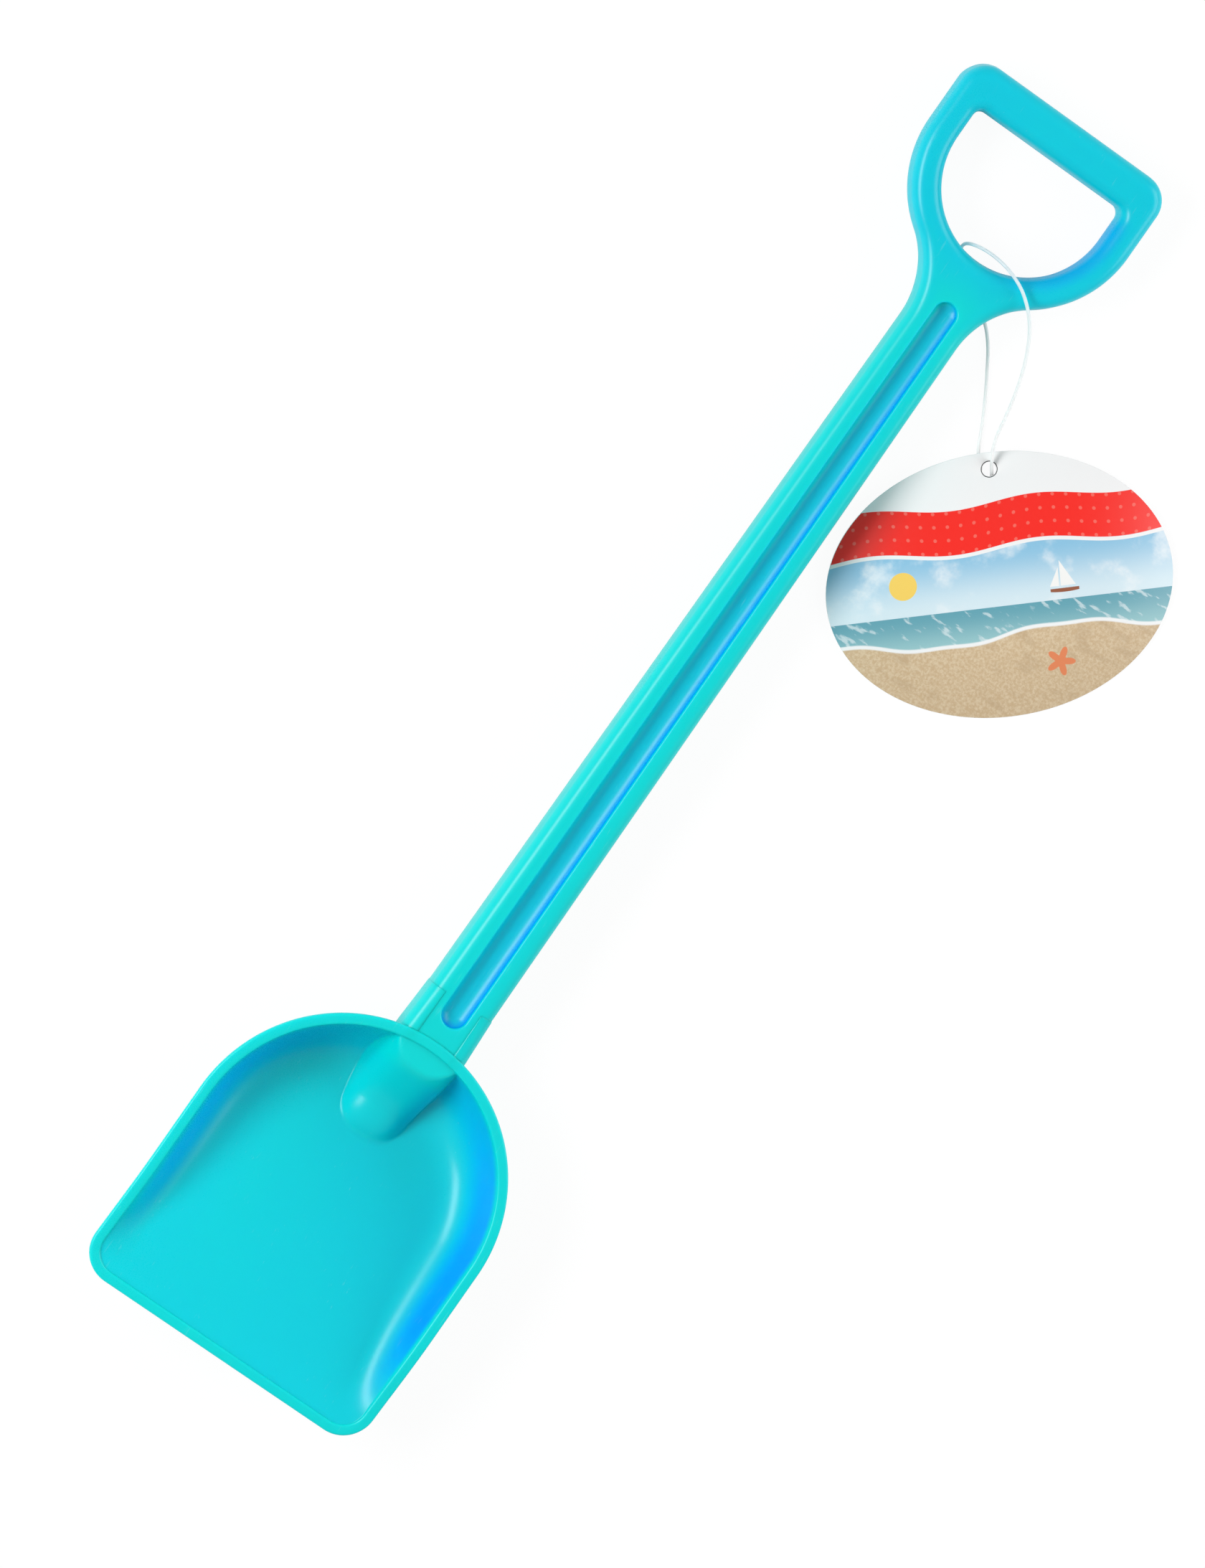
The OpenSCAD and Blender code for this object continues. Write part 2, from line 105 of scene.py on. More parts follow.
class BladeSizes(bpy.types.PropertyGroup):
    long: length(0.141, "From the blade's rear edge to its lip")
    half_w: length(0.0622, "Half the width, and the radius of the rear edge")
    corner_r: length(0.013, "Radius of the front corners")
    rim_w: length(0.0041, "Width of the rim")
    flange_w: length(0.0024, "Overhang of the rim past the wall")
    flange_t: length(0.0024, "Thickness of the rim's flange")
    rim_round: length(0.0009, "Rounding of the rim's edges")
    floor_t: length(0.0022, "Thickness of the floor")
    heel_d: length(0.02911, "Depth at the heel, below the rim")
    lip_d: length(0.001, "Depth of the floor at the lip")
    lip_drop: length(0.006, "Drop of the lip below the rim's plane")
    lip_fall: length(0.05, "Length of the rim's fall to the lip")
    side_run: length(0.0188, "Run of the side walls, with their fillet")
    front_run: length(0.0115, "Run of the side walls at their front end")
    rear_run: length(0.028, "Run of the rear wall, with its fillet")
    heel_run: length(0.024, "From the rim to where the floor is deepest")
    lip_run: length(0.003, "Run of the bevel behind the lip")
    floor_corner_r: length(0.006, "Radius of the floor's front corners")
    rim_rise: length(0.00116, "Height of the rim above the handle's face")
    hump_r: length(0.0147, "Half the width of the hump over the socket")
    hump_square: number(2.4, "2 for a round hump, more for fuller shoulders")
    hump_steep: number(1.15, "Stretch of the hump's section upwards")
    hump_flat: length(0.0126, "Length of the hump's flat top")
    dive_l: length(0.0205, "Length of the hump ridge's fall")
    dive_d: length(0.0185, "Drop of the hump's ridge")
    nose_at: length(0.035, "From the rear edge to the middle of the hump's nose")
    crease: length(0.0018, "Fillet between the hump and the bowl")
    flat_soft: length(0.0012, "Softness of the flat top's edge")
    tongue_l: length(0.0173, "Length of the tongues that clasp the shaft")
    tongue_x: length(0.0079, "From the middle to a tongue's inner edge")
    tongue_flare: length(0.0009, "Flare of the tongues at the rim")
    tongue_proud: length(0.0002, "Height of the tongues above the shaft")
    fit_gap: length(0.00015, "Clearance between handle and blade")


class TagSizes(bpy.types.PropertyGroup):
    wide: length(0.13, "Length of the oval card")
    high: length(0.099, "Height of the oval card")
    thick: length(0.0006, "Thickness of the card")
    hole_d: length(0.0055, "Diameter of the card's hole")
    hole_edge: length(0.0062, "From the hole's middle to the card's edge")
    at_x: length(0.0782, "Where the card's middle lies, across the shaft")
    at_y: length(0.1214, "Where the card's middle lies, along the shaft")
    turn: angle(41.5, "Turn of the card")
    tilt: angle(2, "Tilt of the card's upper end")
    strap_d: length(0.0013, "Diameter of the strap")
    lock_w: length(0.0032, "Width of the strap's lock")
    lock_t: length(0.0022, "Thickness of the strap's lock")


class Finish(bpy.types.PropertyGroup):
    plastic: colour((0.0, 0.655, 0.64), "Colour of the moulded plastic")
    # The second blue is painted shade: hollows, walls and flanks that face away from the light are pulled
    # towards it
    plastic_painted_shade: colour((0.0, 0.27, 0.92), "Its colour where light gathers in a hollow")
    strap: colour((0.86, 0.85, 0.82), "Colour of the strap")
    card: colour((0.85, 0.85, 0.85), "Colour of the bare card")
    band: colour((0.9, 0.016, 0.008), "Colour of the printed band")
    sky: colour((0.25, 0.52, 0.72), "Colour of the printed sky")
    sea: colour((0.12, 0.36, 0.44), "Colour of the printed sea")
    sand: colour((0.6, 0.44, 0.26), "Colour of the printed sand")


class Studio(bpy.types.PropertyGroup):
    world: number(0.42, "Strength of the white surroundings")
    key_lamp: number(20.0, "Power of the lamp on the left, in watts")
    side_lamp: number(15.0, "Power of the low lamp on the right, in watts")
    distance: length(3.281, "From the camera to the shovel")
    lens: length(0.2054, "Focal length for a picture 36 mm high")
    side: angle(10, "Angle of the camera to the left")
    back: angle(2.2, "Angle of the camera towards the grip")
    roll: angle(35.24, "Turn of the shaft in the picture")
    aim_x: length(-0.0018, "What the camera looks at, across the shaft")
    aim_y: length(-0.0224, "What the camera looks at, along the shaft")
    aim_z: length(0.011, "What the camera looks at, above the ground")


GROUPS = {"shovel_handle": HandleSizes, "shovel_blade": BladeSizes, "shovel_tag": TagSizes,
          "shovel_finish": Finish, "shovel_studio": Studio}


# How finely the blade, the handle's edges and round ends, and the strap are divided
REAR_STEPS, SIDE_STEPS, CORNER_STEPS, LIP_STEPS = 150, 32, 16, 18
WALL_STEPS, FLOOR_STEPS, OUTSIDE_STEPS = 30, 44, 22
EDGE_STEPS, END_STEPS, STRAP_PARTS, STRAP_SIDES = 9, 20, 6, 14

# A strip of each flat face along its rounded edge, which keeps the shading even
STRIP = 0.00015

# How the bowl's wall curves from rim to foot: where its two control points lie, as shares of its run, and
# how deep the first is, each for the sides, their front end, and the rear and lip
WALL_SHARES = ((0.17, 0.28, 0.11), (0.37, 0.62, 0.39), (0.58, 0.5, 0.65))

# How much wider the foot is outside, and from the rear edge to the field in the floor's middle
FOOT_OUT, FLOOR_MIDDLE = 0.0007, 0.098

# The hump: the share of its radius at which its section ends, the slope past that, how far its ridge sags
# on the way down, and how steeply it falls at its end
HUMP_EDGE, HUMP_SKIRT, DIVE_SAG, DIVE_TAIL = 0.985, 4, 0.75, 0.25

# The groove: the set-backs of its rings, in millimetres, its sides' slope, and their softness at its floor
GROOVE_RINGS = (0.06, 0.1, 0.14, 0.18, 0.24, 0.32, 0.42, 0.55, 0.75,
                1, 1.35, 1.75, 2.2, 2.7, 3.2, 3.6, 3.9)
GROOVE_STEEP, GROOVE_SOFT = 9, 0.0007

# The long edges at the back grow sharper below the grip, from here on and over this length
SHARP_FROM, SHARP_OVER = 0.036, 0.018

# How blue the plastic is, as shares between its two colours; all but the even tint of the grip and the
# bowl is painted shade
GRIP_BLUE, OPENING_SHADE, GROOVE_LIP_SHADE, GROOVE_SHADE, GROOVE_SIDE_SHADE = 0.2, 0.35, 0.1, 0.22, 0.5
CHANNEL_SHADE, CHANNEL_FLOOR_SHADE, BOWL_BLUE, HUMP_SHADE, FLANK_SHADE = 0.35, 0.5, 0.12, 0.08, 0.12

# Where the grip's tint and the painted shade on the bowl's walls and the hump's flank end, from the grip's
# centre, from the lip and from the rear edge, and over what length
GRIP_END, GRIP_OVER, LIP_END, LIP_OVER, FLANK_END, FLANK_OVER = 0.07, 0.04, 0.01, 0.045, 0.048, 0.02

# The bowl's walls, in painted shade: how blue they are, and as shares of the way down, where that is full,
# where it starts to fade and over what stretch
LEFT_WALL_SHADE, RIGHT_WALL_SHADE = (0.37, 0.3, 0.45, 0.4), (0.7, 0.1, 0.25, 0.5)

# Size and place of the lamps, which point at the middle of the floor
LAMPS = {"key_lamp": ((1.1, 0.5), (-1.12, -0.34, 1.09)), "side_lamp": ((1.5, 0.9), (1.2, 0.9, 0.65))}

# Where the shovel lies: its own plane has its origin at the grip's centre, and the blade towards -Y
LIE = Matrix.Translation((0, 0.245777, 0.009664)) @ Matrix.Rotation(radians(-1.61416), 4, "X")

# The strap's way, from the lock's lower end round to its upper end, in millimetres
STRAP_ROUTE = [
    (48.6, 147.9, 1.3), (49.5, 146.7, 1.2), (51.4, 145.8, 1.1), (53.5, 146.5, 1.1), (54.5, 148.4, 1.1),
    (53.8, 150.5, 1.2), (52.1, 152.4, 2), (50.4, 154.2, 3.6), (48.4, 156.6, 5.4), (46, 160, 7.6),
    (43.5, 165.5, 10.4), (41.5, 173, 13.4), (38.5, 183, 16.8), (34.5, 193, 19.6), (29.5, 202, 21.6),
    (24, 208.5, 22.4), (17.5, 213.5, 22.2), (10.5, 216.5, 20.6), (4, 217.8, 17.8), (-1.5, 217.8, 14.4),
    (-5.5, 216.9, 10.6), (-7, 215.5, 6.8), (-6.3, 213.2, 3.4), (-3.3, 209.8, 1.2), (2, 205.5, 0.75),
    (8, 202, 0.75), (13.5, 199, 0.75), (18.5, 195.5, 0.75), (23.5, 190, 0.75), (28.5, 182.5, 0.75),
    (33.5, 174.5, 0.75), (38, 166.5, 0.8), (42, 158.5, 0.9), (45.4, 153.1, 1.3)]


# Geometry

def mix(a, b, t):
    return a + (b - a) * t


def clamp(t):
    return min(max(t, 0.0), 1.0)


def ease(t):
    return (1 - cos(pi * clamp(t))) / 2


def radius(x, y):
    return (x ** 2 + y ** 2) ** 0.5


def rounded_max(a, b, soft):
    """The larger of two heights, with a fillet where they cross."""
    near = max(soft - abs(a - b), 0) / soft
    return max(a, b) + near * near * soft / 4


def rounded_min(a, b, soft):
    return -rounded_max(-a, -b, soft)


def arc(x, y, r, start, end, steps, first=0):
    """Points of an arc, in degrees."""
    angles = [radians(mix(start, end, i / steps)) for i in range(first, steps + 1)]
    return [(x + r * cos(a), y + r * sin(a)) for a in angles]


def turns(count):
    return [2 * pi * i / count for i in range(count)]


def both_sides(half):
    """An outline from its right half, which starts and ends on the middle line."""
    return half + [(-p[0], *p[1:]) for p in half[-2:0:-1]]


def edges_of(verts):
    return list(dict.fromkeys(edge for vert in verts for edge in vert.link_edges))


class Skin:
    """A mesh that grows ring by ring. Each point remembers its place on the ring."""

    def __init__(self):
        self.mesh = bmesh.new()
        self.place = self.mesh.verts.layers.int.new("place")
        # deep holds each point's share of the blue, mostly painted shade in hollows and on sides that face
        # away from the light
        self.deep = self.mesh.verts.layers.float.new("deep")

    def ring(self, points, deep=0.0):
        """A first ring. deep, how far a point's colour is pulled towards the blue of painted shade, is one
        number or one for each point.
        """
        made = bmesh.ops.create_circle(self.mesh, segments=len(points), radius=1)["verts"]
        for i, vert in enumerate(made):
            vert.co, vert[self.place] = points[i], i
            vert[self.deep] = deep if isinstance(deep, float) else deep[i]
        return edges_of(made)

    def grow(self, edges, points, deep=0.0):
        """One more ring next to these edges."""
        made = bmesh.ops.extrude_edge_only(self.mesh, edges=edges)["geom"]
        fresh = {part for part in made if isinstance(part, bmesh.types.BMVert)}
        for vert in fresh:
            i = vert[self.place]
            vert.co = points[i]
            vert[self.deep] = deep if isinstance(deep, float) else deep[i]
        return [part for part in made if isinstance(part, bmesh.types.BMEdge)
                and part.verts[0] in fresh and part.verts[1] in fresh]

    def grow_all(self, edges, rings, deep=0.0):
        for points in rings:
            edges = self.grow(edges, points, deep)
        return edges

    def close(self, edges):
        """One flat face in a ring."""
        bmesh.ops.edgeloop_fill(self.mesh, edges=edges)

    def sheet(self, edges, normal):
        """A flat face between an outer ring and the rings of its holes."""
        bmesh.ops.triangle_fill(self.mesh, edges=edges, use_beauty=True, normal=normal)

    def block(self, low, high, round_r):
        """A block with rounded edges between two corners."""
        low, high = Vector(low), Vector(high)
        place = Matrix.Translation((low + high) / 2) @ Matrix.Diagonal((*(high - low), 1))
        made = bmesh.ops.create_cube(self.mesh, size=1, matrix=place)["verts"]
        bmesh.ops.bevel(self.mesh, geom=edges_of(made), affect="EDGES", offset=round_r, segments=2,
                        profile=0.5, material=-1, clamp_overlap=True)


def add_object(name, data):
    made = bpy.data.objects.new(name, data)
    bpy.context.scene.collection.objects.link(made)
    return made


def mesh_from(made, name):
    mesh = bpy.data.meshes.new(name)
    made.to_mesh(mesh)
    made.free()
    return mesh


def finish_piece(skin, name, body, materials, nodes, place=Matrix()):
    """Makes the grown mesh a piece that rides on a body, where one is given, and stands for its CAD nodes.
    """
    grown = skin.mesh
    grown.transform(place)
    bmesh.ops.recalc_face_normals(grown, faces=grown.faces)
    grown.verts.layers.int.remove(grown.verts.layers.int["place"])
    mesh = mesh_from(grown, name)
    for material in materials:
        mesh.materials.append(material)
    mesh.shade_smooth()
    piece = add_object(name, mesh)
    if body:
        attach(piece, body)
    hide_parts(*nodes)
    return piece


# Shader arithmetic

class Wire:
    """One output of a shader node. Sums and products of wires add their Math nodes."""

    def __init__(self, paint, socket):
        self.paint, self.socket = paint, socket

    def math(self, operation, *others):
        return self.paint.node("Math", {"operation": operation}, dict(enumerate((self, *others))))

    def __add__(self, other):
        return self.math("ADD", other)

    def __sub__(self, other):
        return self.math("SUBTRACT", other)

    def __mul__(self, other):
        return self.math("MULTIPLY", other)

    def __truediv__(self, other):
        return self.math("DIVIDE", other)

    def __pow__(self, other):
        return self.math("POWER", other)

    def __rsub__(self, other):
        return self.paint.node("Math", {"operation": "SUBTRACT"}, {0: other, 1: self})

    __radd__ = __add__
    __rmul__ = __mul__

    def step(self, low, high):
        """0 below low, 1 above high, and smooth between them."""
        return self.paint.node("MapRange", {"interpolation_type": "SMOOTHSTEP"},
                               {"Value": self, "From Min": low, "From Max": high})

    def below(self, edge, soft):
        return 1 - self.step(edge - soft, edge + soft)

    def above(self, edge, soft):
        return self.step(edge - soft, edge + soft)


class Paint:
    """A material or world that is built node by node."""

    def __init__(self, name, kind="Material"):
        self.kind = kind
        self.made = (bpy.data.worlds if kind == "World" else bpy.data.materials).new(name)
        self.made.use_nodes = True
        self.tree = self.made.node_tree
        self.tree.nodes.clear()

    def node(self, kind, settings=None, values=None, output=0):
        made = self.tree.nodes.new("ShaderNode" + kind)
        for key, value in (settings or {}).items():
            setattr(made, key, value)
        for key, value in (values or {}).items():
            if isinstance(value, Wire):
                self.tree.links.new(value.socket, made.inputs[key])
            else:
                made.inputs[key].default_value = value
        return Wire(self, made.outputs[output])

    def place(self):
        """Object coordinates, which are the row frame's metres."""
        return self.node("TexCoord", output="Object")

    def noise(self, place, scale, detail, rough=0.5):
        values = {"Vector": place, "Scale": scale, "Detail": detail, "Roughness": rough}
        return self.node("TexNoise", values=values, output="Fac")

    def stretch(self, place, scale, turn=(0, 0, 0)):
        return self.node("Mapping", values={"Vector": place, "Scale": scale, "Rotation": turn})

    def blend(self, share, first, second):
        first, second = (c if isinstance(c, Wire) else (*c, 1) for c in (first, second))
        return self.node("Mix", {"data_type": "RGBA"}, {0: share, 6: first, 7: second}, output=2)

    def bump(self, height, distance, strength, normal=None):
        values = {"Height": height, "Distance": distance, "Strength": strength}
        if normal is not None:
            values["Normal"] = normal
        return self.node("Bump", values=values)

    def surface(self, shader):
        output = self.tree.nodes.new("ShaderNodeOutput" + self.kind)
        self.tree.links.new(shader.socket, output.inputs["Surface"])
        return self.made

    def principled(self, values):
        return self.surface(self.node("BsdfPrincipled", values=values))


def shared(name, make, finish):
    """A material that several pieces share. The first that asks for it makes it."""
    return bpy.data.materials.get(name) or make(name, finish)


def blue_plastic(name, finish):
    """Satin plastic: flow marks in its colour, painted shade in its hollows, a fine grain, light scuffs
    and slight waviness.
    """
    paint = Paint(name)
    place = paint.place()
    flow = paint.noise(paint.stretch(place, (1, 0.35, 1)), 28, 3)
    cloud = paint.noise(place, 9, 2)
    grain = paint.noise(place, 2600, 2)
    wave = paint.noise(place, 45, 1)
    scuffs = paint.noise(paint.stretch(place, (1, 0.06, 1), (0, 0, 0.5)), 1500, 3)
    scuffs = scuffs.above(0.69, 0.05) * paint.noise(place, 60, 1).above(0.55, 0.08)
    # deep brings in the painted shade; flow and cloud are the plastic's own uneven tone
    deep = paint.node("Attribute", {"attribute_name": "deep"}, output="Fac")
    shade = (deep + (flow - 0.5) * 0.1 + (cloud - 0.5) * 0.12).math("MAXIMUM", 0).math("MINIMUM", 1)
    base = paint.blend(shade, finish.plastic, finish.plastic_painted_shade)
    base = paint.blend(scuffs * 0.1, base, (0.45, 0.78, 0.86))
    rough = 0.29 + (grain - 0.5) * 0.06 + (cloud - 0.5) * 0.08 + scuffs * 0.16
    normal = paint.bump(wave, 0.00035, 0.5)
    normal = paint.bump(grain, 0.00001, 0.12, normal)
    normal = paint.bump(scuffs, 0.000012, 0.5, normal)
    return paint.principled({
        "Base Color": base, "Roughness": rough, "Normal": normal, "Specular IOR Level": 0.28,
        "IOR": 1.49, "Subsurface Weight": 0.6, "Subsurface Scale": 0.004,
        "Subsurface Radius": (0.2, 0.8, 1)})


def strap_plastic(name, finish):
    """Milky flexible plastic with drawn lines along its length."""
    paint = Paint(name)
    place = paint.place()
    lines = paint.noise(paint.stretch(place, (1, 0.2, 1), (0, 0, 0.6)), 900, 2)
    cloud = paint.noise(place, 60, 2)
    base = paint.blend(cloud.step(0.3, 0.7), finish.strap, (0.8, 0.81, 0.79))
    return paint.principled({
        "Base Color": base, "Roughness": 0.35 + (lines - 0.5) * 0.15,
        "Normal": paint.bump(lines, 0.00001, 0.25), "Specular IOR Level": 0.4,
        "Subsurface Weight": 1, "Subsurface Scale": 0.006, "Subsurface Radius": (1, 1, 1)})


def bare_card(finish):
    """White coated card: paper fibres under a faint gloss, for the back and the edge."""
    paint = Paint("bare_card")
    place = paint.place()
    fibre = paint.noise(place, 1400, 4, 0.6)
    cloud = paint.noise(place, 40, 2)
    base = paint.blend(fibre.step(0.35, 0.7) * 0.5 + cloud * 0.2, finish.card, (0.78, 0.79, 0.79))
    return paint.principled({"Base Color": base, "Roughness": 0.52 + (fibre - 0.5) * 0.2,
                             "Normal": paint.bump(fibre, 0.00002, 0.5)})


def printed_card(finish, tag):
    """The card's face: a wavy band, sky, sea and sand with a sun, a sail and a starfish, under gloss."""
    paint = Paint("printed_card")
    chart = {"Vector": paint.node("UVMap", {"uv_map": "print"})}
    x = (paint.node("SeparateXYZ", {}, chart, 0) - 0.5) * (tag.wide * 1000)
    y = (paint.node("SeparateXYZ", {}, chart, 1) - 0.5) * (tag.high * 1000)
    place = paint.place()
    fine = 0.12
    clouds = paint.noise(place, 55, 5, 0.55)
    sky = paint.blend(y.step(-8, 14), (0.66, 0.8, 0.86), finish.sky)
    sky = paint.blend(clouds.step(0.5, 0.68) * 0.75, sky, (0.84, 0.88, 0.9))
    sun = radius(x + 36, y - 3.5).below(5.2, fine)
    sky = paint.blend(sun, sky, (0.9, 0.62, 0.12))
    ripple = paint.noise(paint.stretch(place, (0.35, 1, 1), (0, 0, -0.72)), 420, 3)
    sea = paint.blend(y.step(-24, -8), (0.34, 0.6, 0.62), finish.sea)
    sea = paint.blend(ripple.step(0.55, 0.66) * 0.6, sea, (0.74, 0.84, 0.86))
    hull = (y + 5.4 - ((x - 24) * 0.33) ** 2 * 0.12).above(0, fine) * y.below(-3.9, fine)
    hull = hull * (x - 24).math("ABSOLUTE").below(5.4, fine)
    sail = (x - 22.6).above(0, fine) * y.above(-3, fine) * ((x - 22.6) * 1.7 + (y + 3)).below(9.6, fine)
    jib = (22 - x).above(0, fine) * y.above(-3, fine) * ((22 - x) * 2 + (y + 3)).below(7, fine)
    grit = paint.noise(place, 900, 3, 0.7)
    dunes = paint.noise(paint.stretch(place, (0.6, 1.6, 1), (0, 0, -0.72)), 130, 3)
    sand = paint.blend(grit.step(0.35, 0.7) * 0.55, finish.sand, (0.82, 0.7, 0.5))
    sand = paint.blend(dunes.step(0.52, 0.68) * 0.4, sand, (0.5, 0.36, 0.21))
    star_x, star_y = x - 20, y + 31
    around = star_y.math("ARCTAN2", star_x)
    arms = (around * 5 + 0.6).math("COSINE") * 1.7 + 3.9
    star = (radius(star_x, star_y) - arms).below(0, 0.2)
    sand = paint.blend(star, sand, (0.78, 0.24, 0.1))
    shore = (x * 0.07).math("SINE") * 2.4 + (x * 0.21).math("SINE") * 0.5 - 19
    foam = (y - shore).math("ABSOLUTE").below(0.7, 0.35)
    picture = paint.blend(y.above(-8, fine), sea, sky)
    picture = paint.blend(hull, picture, (0.3, 0.1, 0.05))
    picture = paint.blend(sail.math("MAXIMUM", jib), picture, (0.88, 0.88, 0.86))
    picture = paint.blend((shore - y).above(0, fine), picture, sand)
    picture = paint.blend(foam, picture, (0.88, 0.9, 0.9))
    swell = (x * 0.1).math("SINE") * 1.6
    band_low, band_high = y - swell - 14.5, y - swell - 31
    dots_x = ((x + 100) / 5).math("FRACT") - 0.5
    dots_y = (band_low / 5 + 0.35).math("FRACT") - 0.5
    dots = radius(dots_x, dots_y).below(0.13, 0.03)
    band = paint.blend(dots * 0.4, finish.band, (0.86, 0.3, 0.24))
    face = paint.blend(band_low.above(0, fine), picture, band)
    face = paint.blend((band_low + 0.7).math("ABSOLUTE").below(0.7, fine), face, finish.card)
    face = paint.blend(band_high.above(0, fine), face, finish.card)
    hole = radius(x, y - (tag.high / 2 - tag.hole_edge) * 1000)
    face = paint.blend(hole.below(tag.hole_d * 500 + 0.4, 0.08), face, (0.02, 0.02, 0.02))
    press = paint.noise(place, 700, 2)
    return paint.principled({"Base Color": face, "Roughness": 0.36 + (press - 0.5) * 0.14,
                             "Normal": paint.bump(press, 0.000012, 0.5)})


# Camera and strap

def make_camera(studio):
    """A long lens, square to the shovel but a little from its left, and rolled as in the picture."""
    front = cos(studio.side)
    back = Vector((-sin(studio.side), front * sin(studio.back), front * cos(studio.back)))
    along = (Vector((0, 1, 0)) - back * back.y).normalized()
    across = along.cross(back)
    up = along * cos(studio.roll) - across * sin(studio.roll)
    right = along * sin(studio.roll) + across * cos(studio.roll)
    data = bpy.data.cameras.new("camera")
    data.lens = studio.lens * 1000
    data.sensor_width = 36
    data.clip_end = 20
    camera = add_object("camera", data)
    turn = Matrix((right, up, back)).transposed().to_4x4()
    aim = Vector((studio.aim_x, studio.aim_y, studio.aim_z))
    camera.matrix_world = Matrix.Translation(aim + back * studio.distance) @ turn
    bpy.context.scene.camera = camera


def strap_line(parts):
    """Points of the smooth curve through the strap's route."""
    route = [Vector(point) / 1000 for point in STRAP_ROUTE]
    route = [route[0] * 2 - route[1], *route, route[-1] * 2 - route[-2]]
    line = []
    for i in range(1, len(route) - 2):
        a, b, c, d = route[i - 1:i + 3]
        for k in range(parts):
            t = k / parts
            line.append((2 * b + (c - a) * t + (2 * a - 5 * b + 4 * c - d) * t ** 2
                         + (3 * b - a - 3 * c + d) * t ** 3) / 2)
    return line + [route[-2]]


def make_strap(tag, finish):
    """The strap, a round cord that curves between the grip's arm and the card."""
    line = strap_line(STRAP_PARTS)
    lock_way = (line[0] - line[-1]).normalized()
    ways = [lock_way, *[(b - a).normalized() for a, b in zip(line, line[2:])], lock_way]
    side = ways[0].cross(Vector((0, 0, 1))).normalized()
    rings = []
    for spot, way in zip(line, ways):
        side = (side - way * side.dot(way)).normalized()
        up = way.cross(side)
        rings.append([spot + tag.strap_d / 2 * (cos(a) * side + sin(a) * up) for a in turns(STRAP_SIDES)])
    skin = Skin()
    start = skin.ring(rings[0])
    skin.close(start)
    skin.close(skin.grow_all(start, rings[1:]))
    material = shared("milky_strap", strap_plastic, finish)
    strap = finish_piece(skin, "tag_strap", None, [material], ["tag_loop"])
    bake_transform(strap)
    long = sum((b - a).length for a, b in zip(line, line[1:]))


def make_lock(tag, finish):
    """The strap's lock, a small rounded slab into whose ends the strap runs."""
    start, end = Vector(STRAP_ROUTE[-1]) / 1000, Vector(STRAP_ROUTE[0]) / 1000
    way = end - start
    place = Matrix.Translation(start) @ Matrix.Rotation(atan2(way.y, way.x), 4, "Z")
    skin = Skin()
    skin.block((0, -tag.lock_w / 2, -tag.lock_t / 2), (way.length, tag.lock_w / 2, tag.lock_t / 2), 0.0005)
    material = shared("milky_strap", strap_plastic, finish)
    finish_piece(skin, "strap_lock", "loop", [material], ["loop_lock"], place)


# Handle

def yoke_centre(s):
    """Centre of the hollow curve on the right between grip and shaft, measured down the shaft."""
    x = s.shaft_top_w / 2 + s.yoke_r
    return x, sqrt((s.grip_r + s.yoke_r) ** 2 - x ** 2)


def shaft_x(s, y):
    """Half the shaft's width at a place along it."""
    yoke_y = yoke_centre(s)[1]
    return mix(s.shaft_top_w, s.shaft_end_w, (-yoke_y - y) / (s.shaft_l - yoke_y)) / 2


def handle_half(s, d):
    """Right half of the handle's outline, set back by d, down to the joint with the blade."""
    yoke_x, yoke_y = yoke_centre(s)
    turn = degrees(atan2(yoke_y, yoke_x))
    bar = s.grip_r - s.grip_corner_r
    half = [(bar * i / 6, s.grip_top - d) for i in range(6)]
    half += arc(bar, s.grip_top - s.grip_corner_r, s.grip_corner_r - d, 90, 0, 18)
    half += [(s.grip_r - d, (s.grip_top - s.grip_corner_r) * (1 - i / 4)) for i in range(1, 4)]
    half += arc(0, 0, s.grip_r - d, 0, -turn, 40)
    half += arc(yoke_x, -yoke_y, s.yoke_r + d, 180 - turn, 180, 36, 1)
    half += [(shaft_x(s, y) - d, y) for y in (mix(-yoke_y, -s.shaft_l, i / 16) for i in range(1, 17))]
    return half


def opening_half(s, d):
    """Right half of the opening's outline, widened by d."""
    r = s.grip_r - s.arm_w
    top = s.grip_top - s.bar_w
    bar = r - s.opening_corner_r
    half = [(bar * i / 5, top + d) for i in range(5)]
    half += arc(bar, top - s.opening_corner_r, s.opening_corner_r + d, 90, 0, 14)
    half += [(r + d, (top - s.opening_corner_r) * (1 - i / 3)) for i in range(1, 3)]
    half += arc(0, 0, r + d, 0, -90, 50)
    return half


def edge_profile(s, r):
    """The rounded long edge from the middle plane to the face: set-back and height."""
    draft, face = s.side_draft, s.thick / 2
    profile = [(draft * 0.5, (face - r) * 0.5)]
    for i in range(EDGE_STEPS + 1):
        a = pi / 2 * i / EDGE_STEPS
        profile.append((draft + r * (1 - cos(a)), face - r + r * sin(a)))
    return profile + [(draft + r + STRIP, face)]


def whole_ring(s, b, half):
    """Both halves of a ring of the handle, closed at its end along the blade's rear wall."""
    x, _, z = half[-1]
    return both_sides(half + [(x * j / 4, wall_meet(s, b, x * j / 4, z), z) for j in range(4, -1, -1)])


